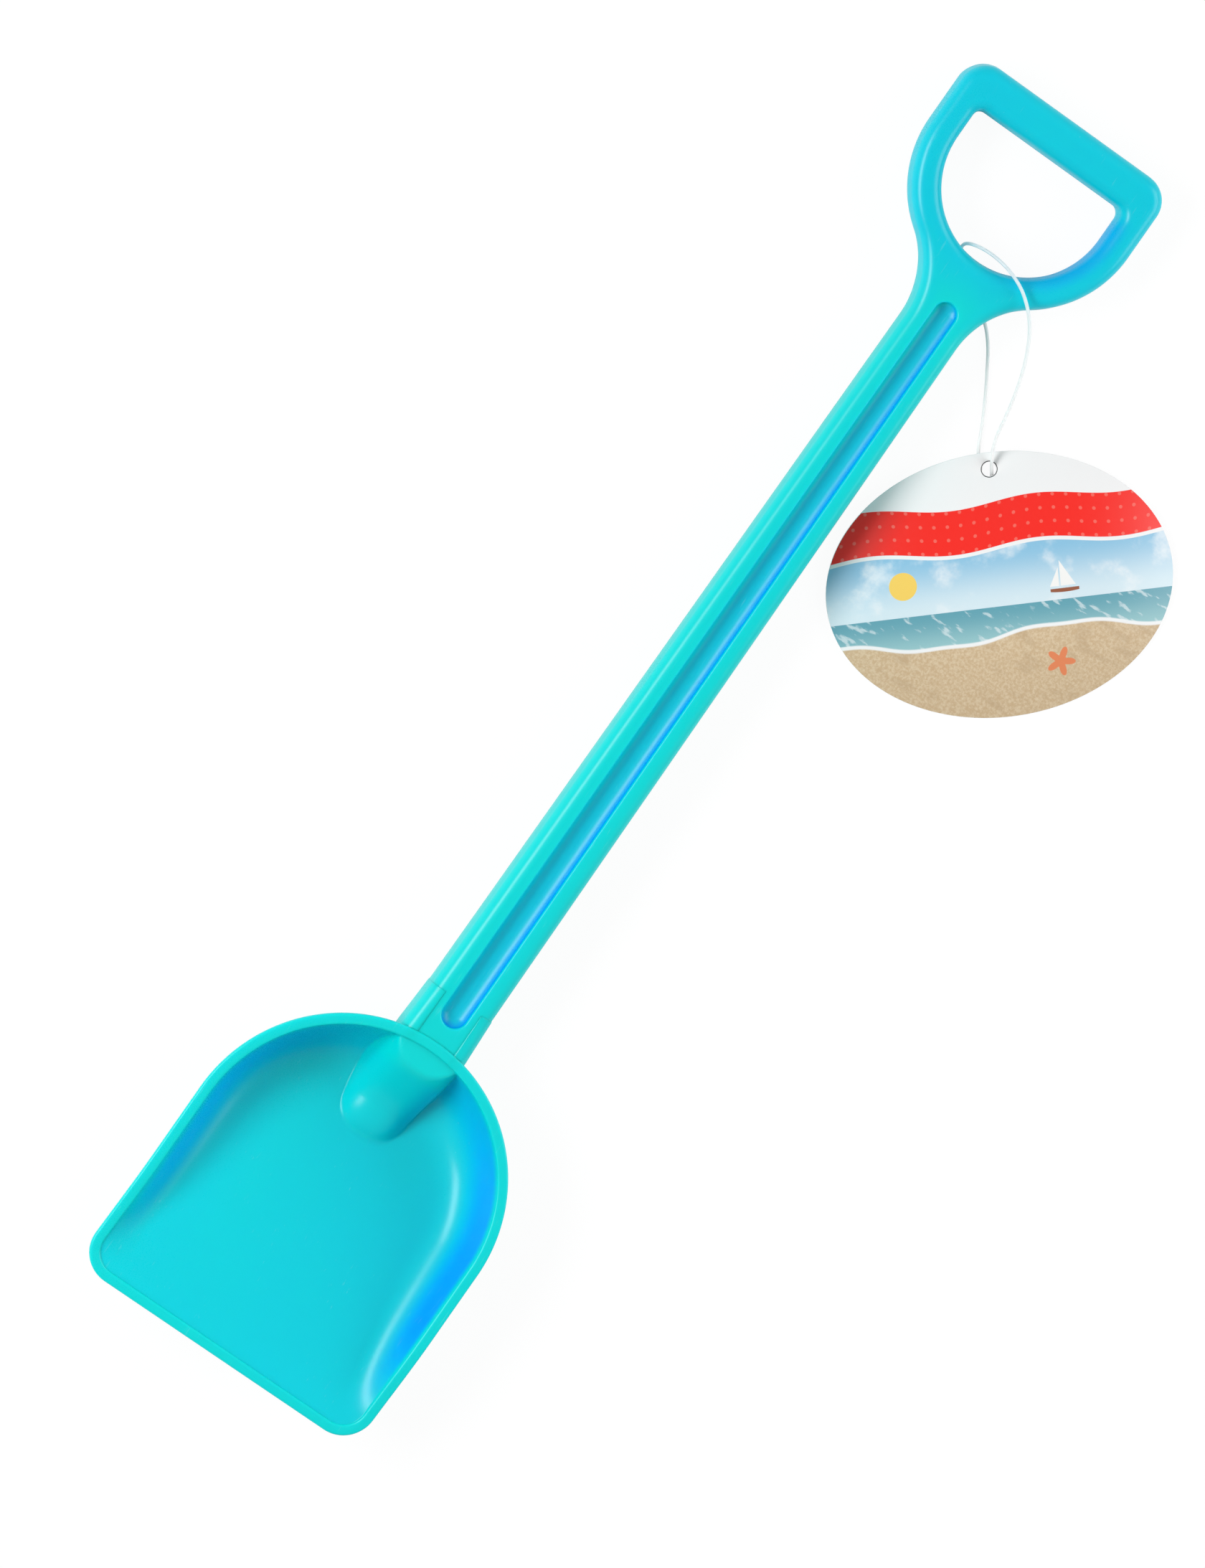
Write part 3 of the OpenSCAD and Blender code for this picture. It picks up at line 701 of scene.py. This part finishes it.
def handle_rings(s, b, side):
    """Rings of the handle's outside, from the middle plane to its front (side 1) or back (side -1)."""
    near, far = handle_half(s, 0), handle_half(s, 1)
    rings = []
    for k in range(len(edge_profile(s, s.edge_r))):
        half = []
        for (x0, y0), (x1, y1) in zip(near, far):
            sharp = ease((-SHARP_FROM - y0) / SHARP_OVER) if side < 0 else 0
            r = mix(s.edge_r, s.back_edge_r, sharp)
            d, z = edge_profile(s, r)[k]
            half.append((mix(x0, x1, d), mix(y0, y1, d), side * z))
        rings.append(whole_ring(s, b, half))
    return rings


def grip_tint(y):
    """The grip is a little bluer than the shaft."""
    return GRIP_BLUE * ease((y + GRIP_END) / GRIP_OVER)


def opening_tint_and_shade(s, points, d):
    """The opening's edge gets painted shade over the grip's tint, bluest on the right."""
    share = OPENING_SHADE * (1 - ease((d - 0.001) / (s.edge_r + 0.001)))
    top = s.grip_top - s.bar_w
    return [GRIP_BLUE + share * clamp(x / 0.03) * ease((top - y) / 0.008) for x, y, _ in points]


def grow_opening(skin, s, edges, side):
    for d, z in edge_profile(s, s.edge_r):
        points = both_sides([(x, y, side * z) for x, y in opening_half(s, d)])
        edges = skin.grow(edges, points, opening_tint_and_shade(s, points, d))
    return edges


def capsule(top_y, top_r, top_z, end_y, end_r, end_z):
    """A long ring with round ends, each at its own height."""
    top = [(x, y, top_z) for x, y in arc(0, top_y, top_r, 0, 180, END_STEPS)]
    return top + [(x, y, end_z) for x, y in arc(0, end_y, end_r, 180, 360, END_STEPS)]


def add_groove(skin, s):
    """The smooth groove down the front: rounded lips, steep sides and a hollow floor."""
    top_r, end_r = s.groove_top_w / 2, s.groove_end_w / 2
    top_y, end_y = -s.groove_start - top_r, -s.shaft_l + s.groove_rest + end_r
    face, lip, hollow = s.thick / 2, s.groove_lip_r, s.groove_floor_r

    def ring(d, height):
        return capsule(top_y, top_r - d, height(top_r - d), end_y, end_r - d, height(end_r - d))

    outer = skin.ring(ring(-lip - 2 * STRIP, lambda w: face))
    edges = skin.grow(outer, ring(-lip, lambda w: face))
    # Painted shade on the lip's rounding, and stronger down into the groove
    for a in (0.26, 0.52, 0.79, 1.05, 1.31, 1.5):
        edges = skin.grow(edges, ring(-lip + lip * sin(a), lambda w: face - lip * (1 - cos(a))), GROOVE_LIP_SHADE)
    for d in GROOVE_RINGS:
        steep = face - lip - GROOVE_STEEP * d / 1000
        points = ring(d / 1000, lambda w: rounded_max(
            steep, face - s.groove_d + hollow - sqrt(hollow ** 2 - w ** 2), GROOVE_SOFT))
        # Painted shade in the groove, bluest on its right side and at its lower end, near its walls
        side = GROOVE_SIDE_SHADE * (1 - clamp((d - 0.8) / 1.8))
        tint = [clamp(GROOVE_SHADE + side * max(x, end_y - y) / end_r) for x, y, _ in points]
        edges = skin.grow(edges, points, tint)
    skin.close(edges)
    return outer


def add_channel(skin, s, b):
    """The ribbed channel down the back: rounded edges, drafted sides and a flat floor."""
    r = s.channel_w / 2
    top_y = -s.groove_start - r
    end_y = -s.shaft_l + b.tongue_l + s.rib_pitch + r
    back, lip = -s.thick / 2, 0.0003
    deep = s.channel_d

    def ring(d, h):
        return capsule(top_y, r + d, back + h, end_y, r + d, back + h)

    outer = edges = skin.ring(ring(lip + STRIP, 0))
    profile = [(lip, 0)] + [(lip - lip * sin(a), lip * (1 - cos(a))) for a in (0.4, 0.8, 1.2, 1.57)]
    profile += [(-0.00025, deep - 0.0006), (-0.00045, deep - 0.00018), (-0.0008, deep)]
    # Painted shade in the channel, deepening downwards and strongest on its floor
    for d, h in profile:
        edges = skin.grow(edges, ring(d, h), CHANNEL_SHADE * clamp(h / 0.003))
    skin.close(skin.grow(edges, ring(-0.0012, deep), CHANNEL_FLOOR_SHADE))
    y = top_y
    while y > end_y:
        skin.block((-r - lip, y - s.rib_t / 2, back + s.rib_recess),
                   (r + lip, y + s.rib_t / 2, back + deep + 0.0004), 0.00035)
        y -= s.rib_pitch
    return outer


def make_handle(s, b, finish):
    skin = Skin()
    middle = whole_ring(s, b, [(x, y, 0) for x, y in handle_half(s, 0)])
    tint = [grip_tint(y) for _, y, _ in middle]
    outside = skin.ring(middle, tint)
    opening = both_sides([(x, y, 0) for x, y in opening_half(s, 0)])
    inside = skin.ring(opening, opening_tint_and_shade(s, opening, 0))
    front = skin.grow_all(outside, handle_rings(s, b, 1), tint) + grow_opening(skin, s, inside, 1)
    back = skin.grow_all(outside, handle_rings(s, b, -1), tint) + grow_opening(skin, s, inside, -1)
    skin.sheet(front + add_groove(skin, s), (0, 0, 1))
    skin.sheet(back + add_channel(skin, s, b), (0, 0, -1))
    material = shared("moulded_blue", blue_plastic, finish)
    finish_piece(skin, "handle_moulding", "shovel", [material], ["handle"], LIE)


# Blade

def side_y(s, b, i):
    """Place along the shaft of a point on the blade's straight side."""
    return mix(-s.shaft_l - b.half_w, -s.shaft_l - b.long + b.corner_r, i / SIDE_STEPS)


def blade_half(s, b, d):
    """Right half of the blade's outline, set back by d."""
    centre, lip = -s.shaft_l - b.half_w, -s.shaft_l - b.long
    corner_x = b.half_w - b.corner_r
    half = arc(0, centre, b.half_w - d, 90, 0, REAR_STEPS)
    half += [(b.half_w - d, side_y(s, b, i)) for i in range(1, SIDE_STEPS + 1)]
    half += arc(corner_x, lip + b.corner_r, b.corner_r - d, 0, -90, CORNER_STEPS, 1)
    return half + [(corner_x * (1 - i / LIP_STEPS), lip + d) for i in range(1, LIP_STEPS + 1)]


def floor_half(s, b, d):
    """Right half of the floor's outline, widened by d."""
    centre = -s.shaft_l - b.half_w
    lip = -s.shaft_l - b.long + b.rim_w + b.lip_run
    inside = b.half_w - b.rim_w
    corner_x = inside - b.front_run - b.floor_corner_r
    half = []
    for i in range(REAR_STEPS + 1):
        a = pi / 2 * (1 - i / REAR_STEPS)
        r = inside - mix(b.side_run, b.rear_run, sin(a) ** 2) + d
        half.append((r * cos(a), centre + r * sin(a)))
    for i in range(1, SIDE_STEPS + 1):
        run = mix(b.side_run, b.front_run, ease(i / SIDE_STEPS))
        half.append((inside - run + d, side_y(s, b, i)))
    half += arc(corner_x, lip + b.floor_corner_r, b.floor_corner_r + d, 0, -90, CORNER_STEPS, 1)
    return half + [(corner_x * (1 - i / LIP_STEPS), lip - d) for i in range(1, LIP_STEPS + 1)]


def rim_height(s, b, y):
    """Height of the rim's top, which comes down towards the lip."""
    lip = -s.shaft_l - b.long
    return s.thick / 2 + b.rim_rise - b.lip_drop * ease((lip + b.lip_fall - y) / b.lip_fall)


def floor_height(s, b, y):
    """Height of the floor, which rises evenly from the heel to the lip."""
    heel_y = -s.shaft_l - b.rim_w - b.heel_run
    lip_y = -s.shaft_l - b.long + b.rim_w + b.lip_run
    heel = s.thick / 2 + b.rim_rise - b.heel_d
    lip = s.thick / 2 + b.rim_rise - b.lip_drop - b.lip_d
    return mix(heel, lip, (y - heel_y) / (lip_y - heel_y))


def wall_point(b, top, foot, lean, t, front=0.0):
    """A point between the rim and the foot of the wall.

    lean is 0 on the steep sides and 1 at the rear and lip. front is 1 at the front end of the sides.
    """
    near, far, drop = (mix(mix(side, corner, front), rear, lean) for side, corner, rear in WALL_SHARES)
    slope = (b.lip_drop + b.lip_d - b.heel_d) / (b.long - 2 * b.rim_w - b.lip_run - b.heel_run)
    bend = foot[2] + slope * (far - 1) * (foot[1] - top[1])
    points = (top, (mix(top[0], foot[0], near), mix(top[1], foot[1], near), mix(top[2], foot[2], drop)),
              (mix(top[0], foot[0], far), mix(top[1], foot[1], far), bend), foot)
    weights = ((1 - t) ** 3, 3 * t * (1 - t) ** 2, 3 * t ** 2 * (1 - t), t ** 3)
    return tuple(sum(w * p[i] for w, p in zip(weights, points)) for i in range(3))


def wall_meet(s, b, x, z):
    """How far down the shaft reaches at x and z: the middle of the blade's rear wall."""
    rim_z = s.thick / 2 + b.rim_rise
    top = (0, -s.shaft_l - mix(b.rim_w, b.flange_w, 0.5), rim_z - mix(b.rim_round, b.flange_t, 0.5))
    foot_y = -s.shaft_l - b.rim_w - b.rear_run
    foot = (0, foot_y, floor_height(s, b, foot_y) - b.floor_t / 2)
    low, high = 0.0, 1.0
    for _ in range(20):
        t = (low + high) / 2
        low, high = (t, high) if wall_point(b, top, foot, 1, t)[2] > z else (low, t)
    back = -s.shaft_l - wall_point(b, top, foot, 1, low)[1]
    return -s.shaft_l - b.half_w + sqrt((b.half_w - back) ** 2 - x ** 2)


def hump_height(s, b, x, y):
    """Height of the hump: it dives from the rear, levels out and ends in a round nose."""
    power, limit = b.hump_square, HUMP_EDGE * b.hump_r
    u = (-s.shaft_l - b.hump_flat - y) / b.dive_l
    sag = DIVE_SAG * u ** 2 * (1 - u) if 0 < u < 1 else 0
    ridge = s.thick / 2 - b.dive_d * (u + sag if u < 1 else 1 + DIVE_TAIL * (u - 1))
    past = max(-s.shaft_l - b.nose_at - y, 0)
    out = (abs(x) ** power + past ** power) ** (1 / power)
    dome = (b.hump_r ** power - min(out, limit) ** power) ** (1 / power)
    height = ridge - b.hump_steep * (b.hump_r - dome)
    return rounded_min(height, s.thick / 2, b.flat_soft) - max(out - limit, 0) * HUMP_SKIRT


def wall_ring(s, b, t, side):
    """A ring of the wall: t runs from the rim to the floor, and side from the inner face to the outer."""
    edge, top = blade_half(s, b, 0), blade_half(s, b, mix(b.rim_w, b.flange_w, side))
    foot = floor_half(s, b, FOOT_OUT * side)
    ring = []
    for i, ((_, y), a, c) in enumerate(zip(edge, top, foot)):
        front, corner = ease((i - REAR_STEPS) / SIDE_STEPS), (i - REAR_STEPS - SIDE_STEPS) / CORNER_STEPS
        lean = cos(pi / 2 * i / REAR_STEPS) ** 2 if i < REAR_STEPS else ease(corner)
        high = rim_height(s, b, y) - mix(b.rim_round, b.flange_t, side)
        low = floor_height(s, b, c[1]) - b.floor_t * side
        ring.append(wall_point(b, (*a, high), (*c, low), lean, t, front))
    return ring


def floor_ring(s, b, t, side):
    """A ring of the floor: t runs from the foot of the wall towards a small middle field."""
    middle = -s.shaft_l - FLOOR_MIDDLE
    ring = []
    for x, y in floor_half(s, b, FOOT_OUT * side):
        x, y = x * mix(1, 0.2, t), mix(y, middle, 0.8 * t)
        ring.append((x, y, floor_height(s, b, y) - b.floor_t * side))
    return ring


def rim_ring(s, b, d, drop):
    """A ring of the rim, set back by d and lowered by drop."""
    return both_sides([(x, y, rim_height(s, b, y0) - drop)
                       for (x, y), (_, y0) in zip(blade_half(s, b, d), blade_half(s, b, 0))])


def bowl_tint_and_shade(s, b, x, y, over, t):
    """How blue the bowl is at a point: an even tint, with painted shade on the walls, on the hump's slope
    and on its right flank. over is how far the hump stands above the bowl there.
    """
    if over > 0:
        # Painted shade on the hump's slope, more on its right flank, none on its flat top
        flank = ease((x / b.hump_r - 0.3) / 0.5) * ease((y + s.shaft_l + FLANK_END) / FLANK_OVER)
        return (HUMP_SHADE + FLANK_SHADE * flank) * ease((-s.shaft_l - b.hump_flat - y) / 0.005)
    centre = -s.shaft_l - b.half_w
    rear = clamp((y - centre) / radius(x, y - centre)) ** 2 if y > centre else 0
    # Painted shade on the walls, less towards the rear and none at the lip
    blue, full, fade, fade_over = RIGHT_WALL_SHADE if x > 0 else LEFT_WALL_SHADE
    wall = blue * ease(t / full) * (1 - ease((t - fade) / fade_over))
    return BOWL_BLUE + wall * (1 - 0.8 * rear) * ease((y + s.shaft_l + b.long - LIP_END) / LIP_OVER)


def grow_bowl(skin, s, b, edges, points, t):
    """A ring of the bowl with the hump over it."""
    lifted, tints = [], []
    for x, y, z in both_sides(points):
        hump = hump_height(s, b, x, y)
        lifted.append((x, y, rounded_max(z, hump, b.crease)))
        tints.append(bowl_tint_and_shade(s, b, x, y, hump - z, t))
    return skin.grow(edges, lifted, tints)


def make_shell(skin, s, b):
    """The blade's shell: up the inside of the wall from the floor, over the rim, and down the outside."""
    r = b.rim_round
    arcs = [(i + 1) * pi / 10 for i in range(5)]
    rim = skin.ring(rim_ring(s, b, b.rim_w - r, 0))
    inner = rim
    for a in arcs:
        inner = skin.grow(inner, rim_ring(s, b, b.rim_w - r + r * sin(a), r * (1 - cos(a))))
    for k in range(1, WALL_STEPS + FLOOR_STEPS + 1):
        if k <= WALL_STEPS:
            points = wall_ring(s, b, k / WALL_STEPS, 0)
        else:
            points = floor_ring(s, b, ((k - WALL_STEPS) / FLOOR_STEPS) ** 1.25, 0)
        inner = grow_bowl(skin, s, b, inner, points, min(k / WALL_STEPS, 1))
    skin.close(inner)
    outer = skin.grow(rim, rim_ring(s, b, r, 0))
    for a in arcs:
        outer = skin.grow(outer, rim_ring(s, b, r - r * sin(a), r * (1 - cos(a))))
    outer = skin.grow(outer, rim_ring(s, b, 0, b.flange_t - r / 2))
    for a in arcs:
        outer = skin.grow(outer, rim_ring(s, b, r / 2 * (1 - cos(a)), b.flange_t - r / 2 * (1 - sin(a))))
    outer = skin.grow(outer, rim_ring(s, b, b.flange_w - r, b.flange_t))
    for k in range(1, OUTSIDE_STEPS + 1):
        outer = skin.grow(outer, both_sides(wall_ring(s, b, k / OUTSIDE_STEPS, 1)))
    for k in (0.03, 0.2, 0.6, 1.0):
        outer = skin.grow(outer, both_sides(floor_ring(s, b, k, 1)))
    skin.close(outer)


def tongue_section(s, b, y, grow, side, shrink=0.0):
    """A tongue's section: the shaft's own rounded flank, standing proud, closed by a flat inside."""
    half_w, seam = shaft_x(s, y) + grow - shrink, b.tongue_x + b.fit_gap + shrink
    lift = b.tongue_proud - shrink
    section = []
    for edge_r, face in ((s.edge_r, 1), (s.back_edge_r, -1)):
        part = [(half_w - d, face * (z + lift * z / (s.thick / 2))) for d, z in edge_profile(s, edge_r)]
        part.append((seam, face * (s.thick / 2 + lift)))
        section += part[::-1] if face > 0 else part
    return [(side * x, y, z) for x, z in section]


def add_tongue(skin, s, b, side):
    top, rim = -s.shaft_l + b.tongue_l - b.fit_gap, -s.shaft_l - b.rim_round
    soft = 0.00012
    first = skin.ring(tongue_section(s, b, top, b.tongue_proud, side, soft))
    skin.close(first)
    edges = first
    for y in (top - soft, top - 2 * soft, mix(top, rim, 0.5), rim):
        grow = mix(b.tongue_proud, b.tongue_flare, (top - y) / (top - rim))
        edges = skin.grow(edges, tongue_section(s, b, y, grow, side))
    last = tongue_section(s, b, rim, b.tongue_flare, side)
    edges = skin.grow(edges, [(x, wall_meet(s, b, x, z), z) for x, _, z in last])
    skin.close(edges)


def make_blade(s, b, finish):
    skin = Skin()
    make_shell(skin, s, b)
    for side in (1, -1):
        add_tongue(skin, s, b, side)
    material = shared("moulded_blue", blue_plastic, finish)
    finish_piece(skin, "blade_moulding", "shovel", [material], ["blade"], LIE)


# Card

def make_card(tag, finish):
    """The oval card with its hole, printed on its face."""
    skin = Skin()
    hole_y = tag.high / 2 - tag.hole_edge
    soft = 0.00008

    def ellipse(x_r, y_r, y, z, count):
        return [(x_r * cos(a), y + y_r * sin(a), z) for a in turns(count)]

    def oval(d, z):
        return ellipse(tag.wide / 2 - d, tag.high / 2 - d, 0, z, 144)

    def hole(d, z):
        return ellipse(tag.hole_d / 2 + d, tag.hole_d / 2 + d, hole_y, z, 48)

    levels = [(soft, 0), (0, soft), (0, tag.thick - soft), (soft, tag.thick)]
    for make in (oval, hole):
        rings = [make(d, z) for d, z in levels]
        low = skin.ring(rings[0])
        high = skin.grow_all(low, rings[1:])
        if make is oval:
            bottom, top = low, high
    skin.sheet(bottom + low, (0, 0, -1))
    skin.sheet(top + high, (0, 0, 1))
    chart = skin.mesh.loops.layers.uv.new("print")
    for face in skin.mesh.faces:
        face.material_index = int(all(vert.co.z > tag.thick - 1e-7 for vert in face.verts))
        for loop in face.loops:
            loop[chart].uv = (loop.vert.co.x / tag.wide + 0.5, loop.vert.co.y / tag.high + 0.5)
    place = (Matrix.Translation((tag.at_x, tag.at_y, 0)) @ Matrix.Rotation(tag.turn, 4, "Z")
             @ Matrix.Translation((0, -tag.high / 2, 0)) @ Matrix.Rotation(tag.tilt, 4, "X")
             @ Matrix.Translation((0, tag.high / 2, 0)))
    finish_piece(skin, "oval_card", "tag", [bare_card(finish), printed_card(finish, tag)],
                 ["swing_tag"], place)


# Stage

def floor_paint():
    """White with a faint shadow for the camera, and a plain pale floor for all else."""
    paint = Paint("floor_white")
    speck = paint.noise(paint.place(), 30.0, 2.0)
    pale = paint.node("BsdfPrincipled", values={
        "Base Color": paint.blend(speck, (0.84, 0.84, 0.84), (0.86, 0.86, 0.86)), "Roughness": 0.9,
        "Specular IOR Level": 0.0})
    glow = paint.node("Emission", values={"Color": (1, 1, 1, 1), "Strength": 1.02})
    seen = paint.node("LightPath", output="Is Camera Ray")
    return paint.surface(paint.node("MixShader", values={0: seen * 0.92, 1: pale, 2: glow}))


def make_stage(studio):
    made = bmesh.new()
    bmesh.ops.create_grid(made, x_segments=1, y_segments=1, size=4)
    mesh = mesh_from(made, "floor")
    mesh.materials.append(floor_paint())
    add_object("floor", mesh)
    paint = Paint("surroundings", "World")
    seen = paint.node("LightPath", output="Is Camera Ray")
    strength = paint.node("MapRange", values={"Value": seen, "To Min": studio.world, "To Max": 1.0})
    white = paint.node("Background", values={"Color": (1, 1, 1, 1), "Strength": strength})
    bpy.context.scene.world = paint.surface(white)
    for name, (size, spot) in LAMPS.items():
        add_lamp(name, getattr(studio, name), size, spot)
    bpy.context.scene.view_settings.view_transform = "Standard"


def add_lamp(name, power, size, spot):
    """A soft rectangular lamp that points at the shovel."""
    data = bpy.data.lights.new(name, "AREA")
    data.shape = "RECTANGLE"
    data.size, data.size_y = size
    data.energy = power
    lamp = add_object(name, data)
    turn = Vector(spot).to_track_quat("Z", "Y").to_matrix().to_4x4()
    lamp.matrix_world = Matrix.Translation(spot) @ turn


# Operators

class Step:
    """A step of the build, which hands its sizes to its functions."""

    def execute(self, context):
        sizes = [getattr(context.scene, "shovel_" + name) for name in self.sizes]
        for make in self.makes:
            make(*sizes)
        return {"FINISHED"}


class MakeCamera(Step, bpy.types.Operator):
    """Sets up the camera"""
    bl_idname = "sand_shovel.camera"
    bl_label = "Camera"
    makes, sizes = (make_camera,), ("studio",)


class MakeStrap(Step, bpy.types.Operator):
    """Makes the hang tag's strap and its lock"""
    bl_idname = "sand_shovel.strap"
    bl_label = "Strap and lock"
    makes, sizes = (make_strap, make_lock), ("tag", "finish")


class MakeHandle(Step, bpy.types.Operator):
    """Makes the handle with its grip, groove and ribbed back"""
    bl_idname = "sand_shovel.handle"
    bl_label = "Handle"
    makes, sizes = (make_handle,), ("handle", "blade", "finish")


class MakeBlade(Step, bpy.types.Operator):
    """Makes the blade with its rim, hump and tongues"""
    bl_idname = "sand_shovel.blade"
    bl_label = "Blade"
    makes, sizes = (make_blade,), ("handle", "blade", "finish")


class MakeCard(Step, bpy.types.Operator):
    """Makes the oval card"""
    bl_idname = "sand_shovel.card"
    bl_label = "Card"
    makes, sizes = (make_card,), ("tag", "finish")


class MakeStage(Step, bpy.types.Operator):
    """Makes the floor, the surroundings and the lamps"""
    bl_idname = "sand_shovel.stage"
    bl_label = "Stage"
    makes, sizes = (make_stage,), ("studio",)


STEPS = (MakeCamera, MakeStrap, MakeHandle, MakeBlade, MakeCard, MakeStage)


class ShovelPanel(bpy.types.Panel):
    """Lists the steps that build the shovel"""
    bl_idname = "VIEW3D_PT_sand_shovel"
    bl_label = "Sand shovel"
    bl_space_type = "VIEW_3D"
    bl_region_type = "UI"
    bl_category = "Sand shovel"

    def draw(self, context):
        for step in STEPS:
            self.layout.operator(step.bl_idname)


CLASSES = (*GROUPS.values(), *STEPS, ShovelPanel)


def register():
    for made in CLASSES:
        bpy.utils.register_class(made)
    for name, group in GROUPS.items():
        setattr(bpy.types.Scene, name, bpy.props.PointerProperty(type=group))


def unregister():
    for name in GROUPS:
        delattr(bpy.types.Scene, name)
    for made in reversed(CLASSES):
        bpy.utils.unregister_class(made)


def main():
    register()
    bpy.ops.sand_shovel.camera()
    bpy.ops.sand_shovel.strap()
    bpy.ops.sand_shovel.handle()
    bpy.ops.sand_shovel.blade()
    bpy.ops.sand_shovel.card()
    bpy.ops.sand_shovel.stage()


if __name__ == "__main__":
    main()
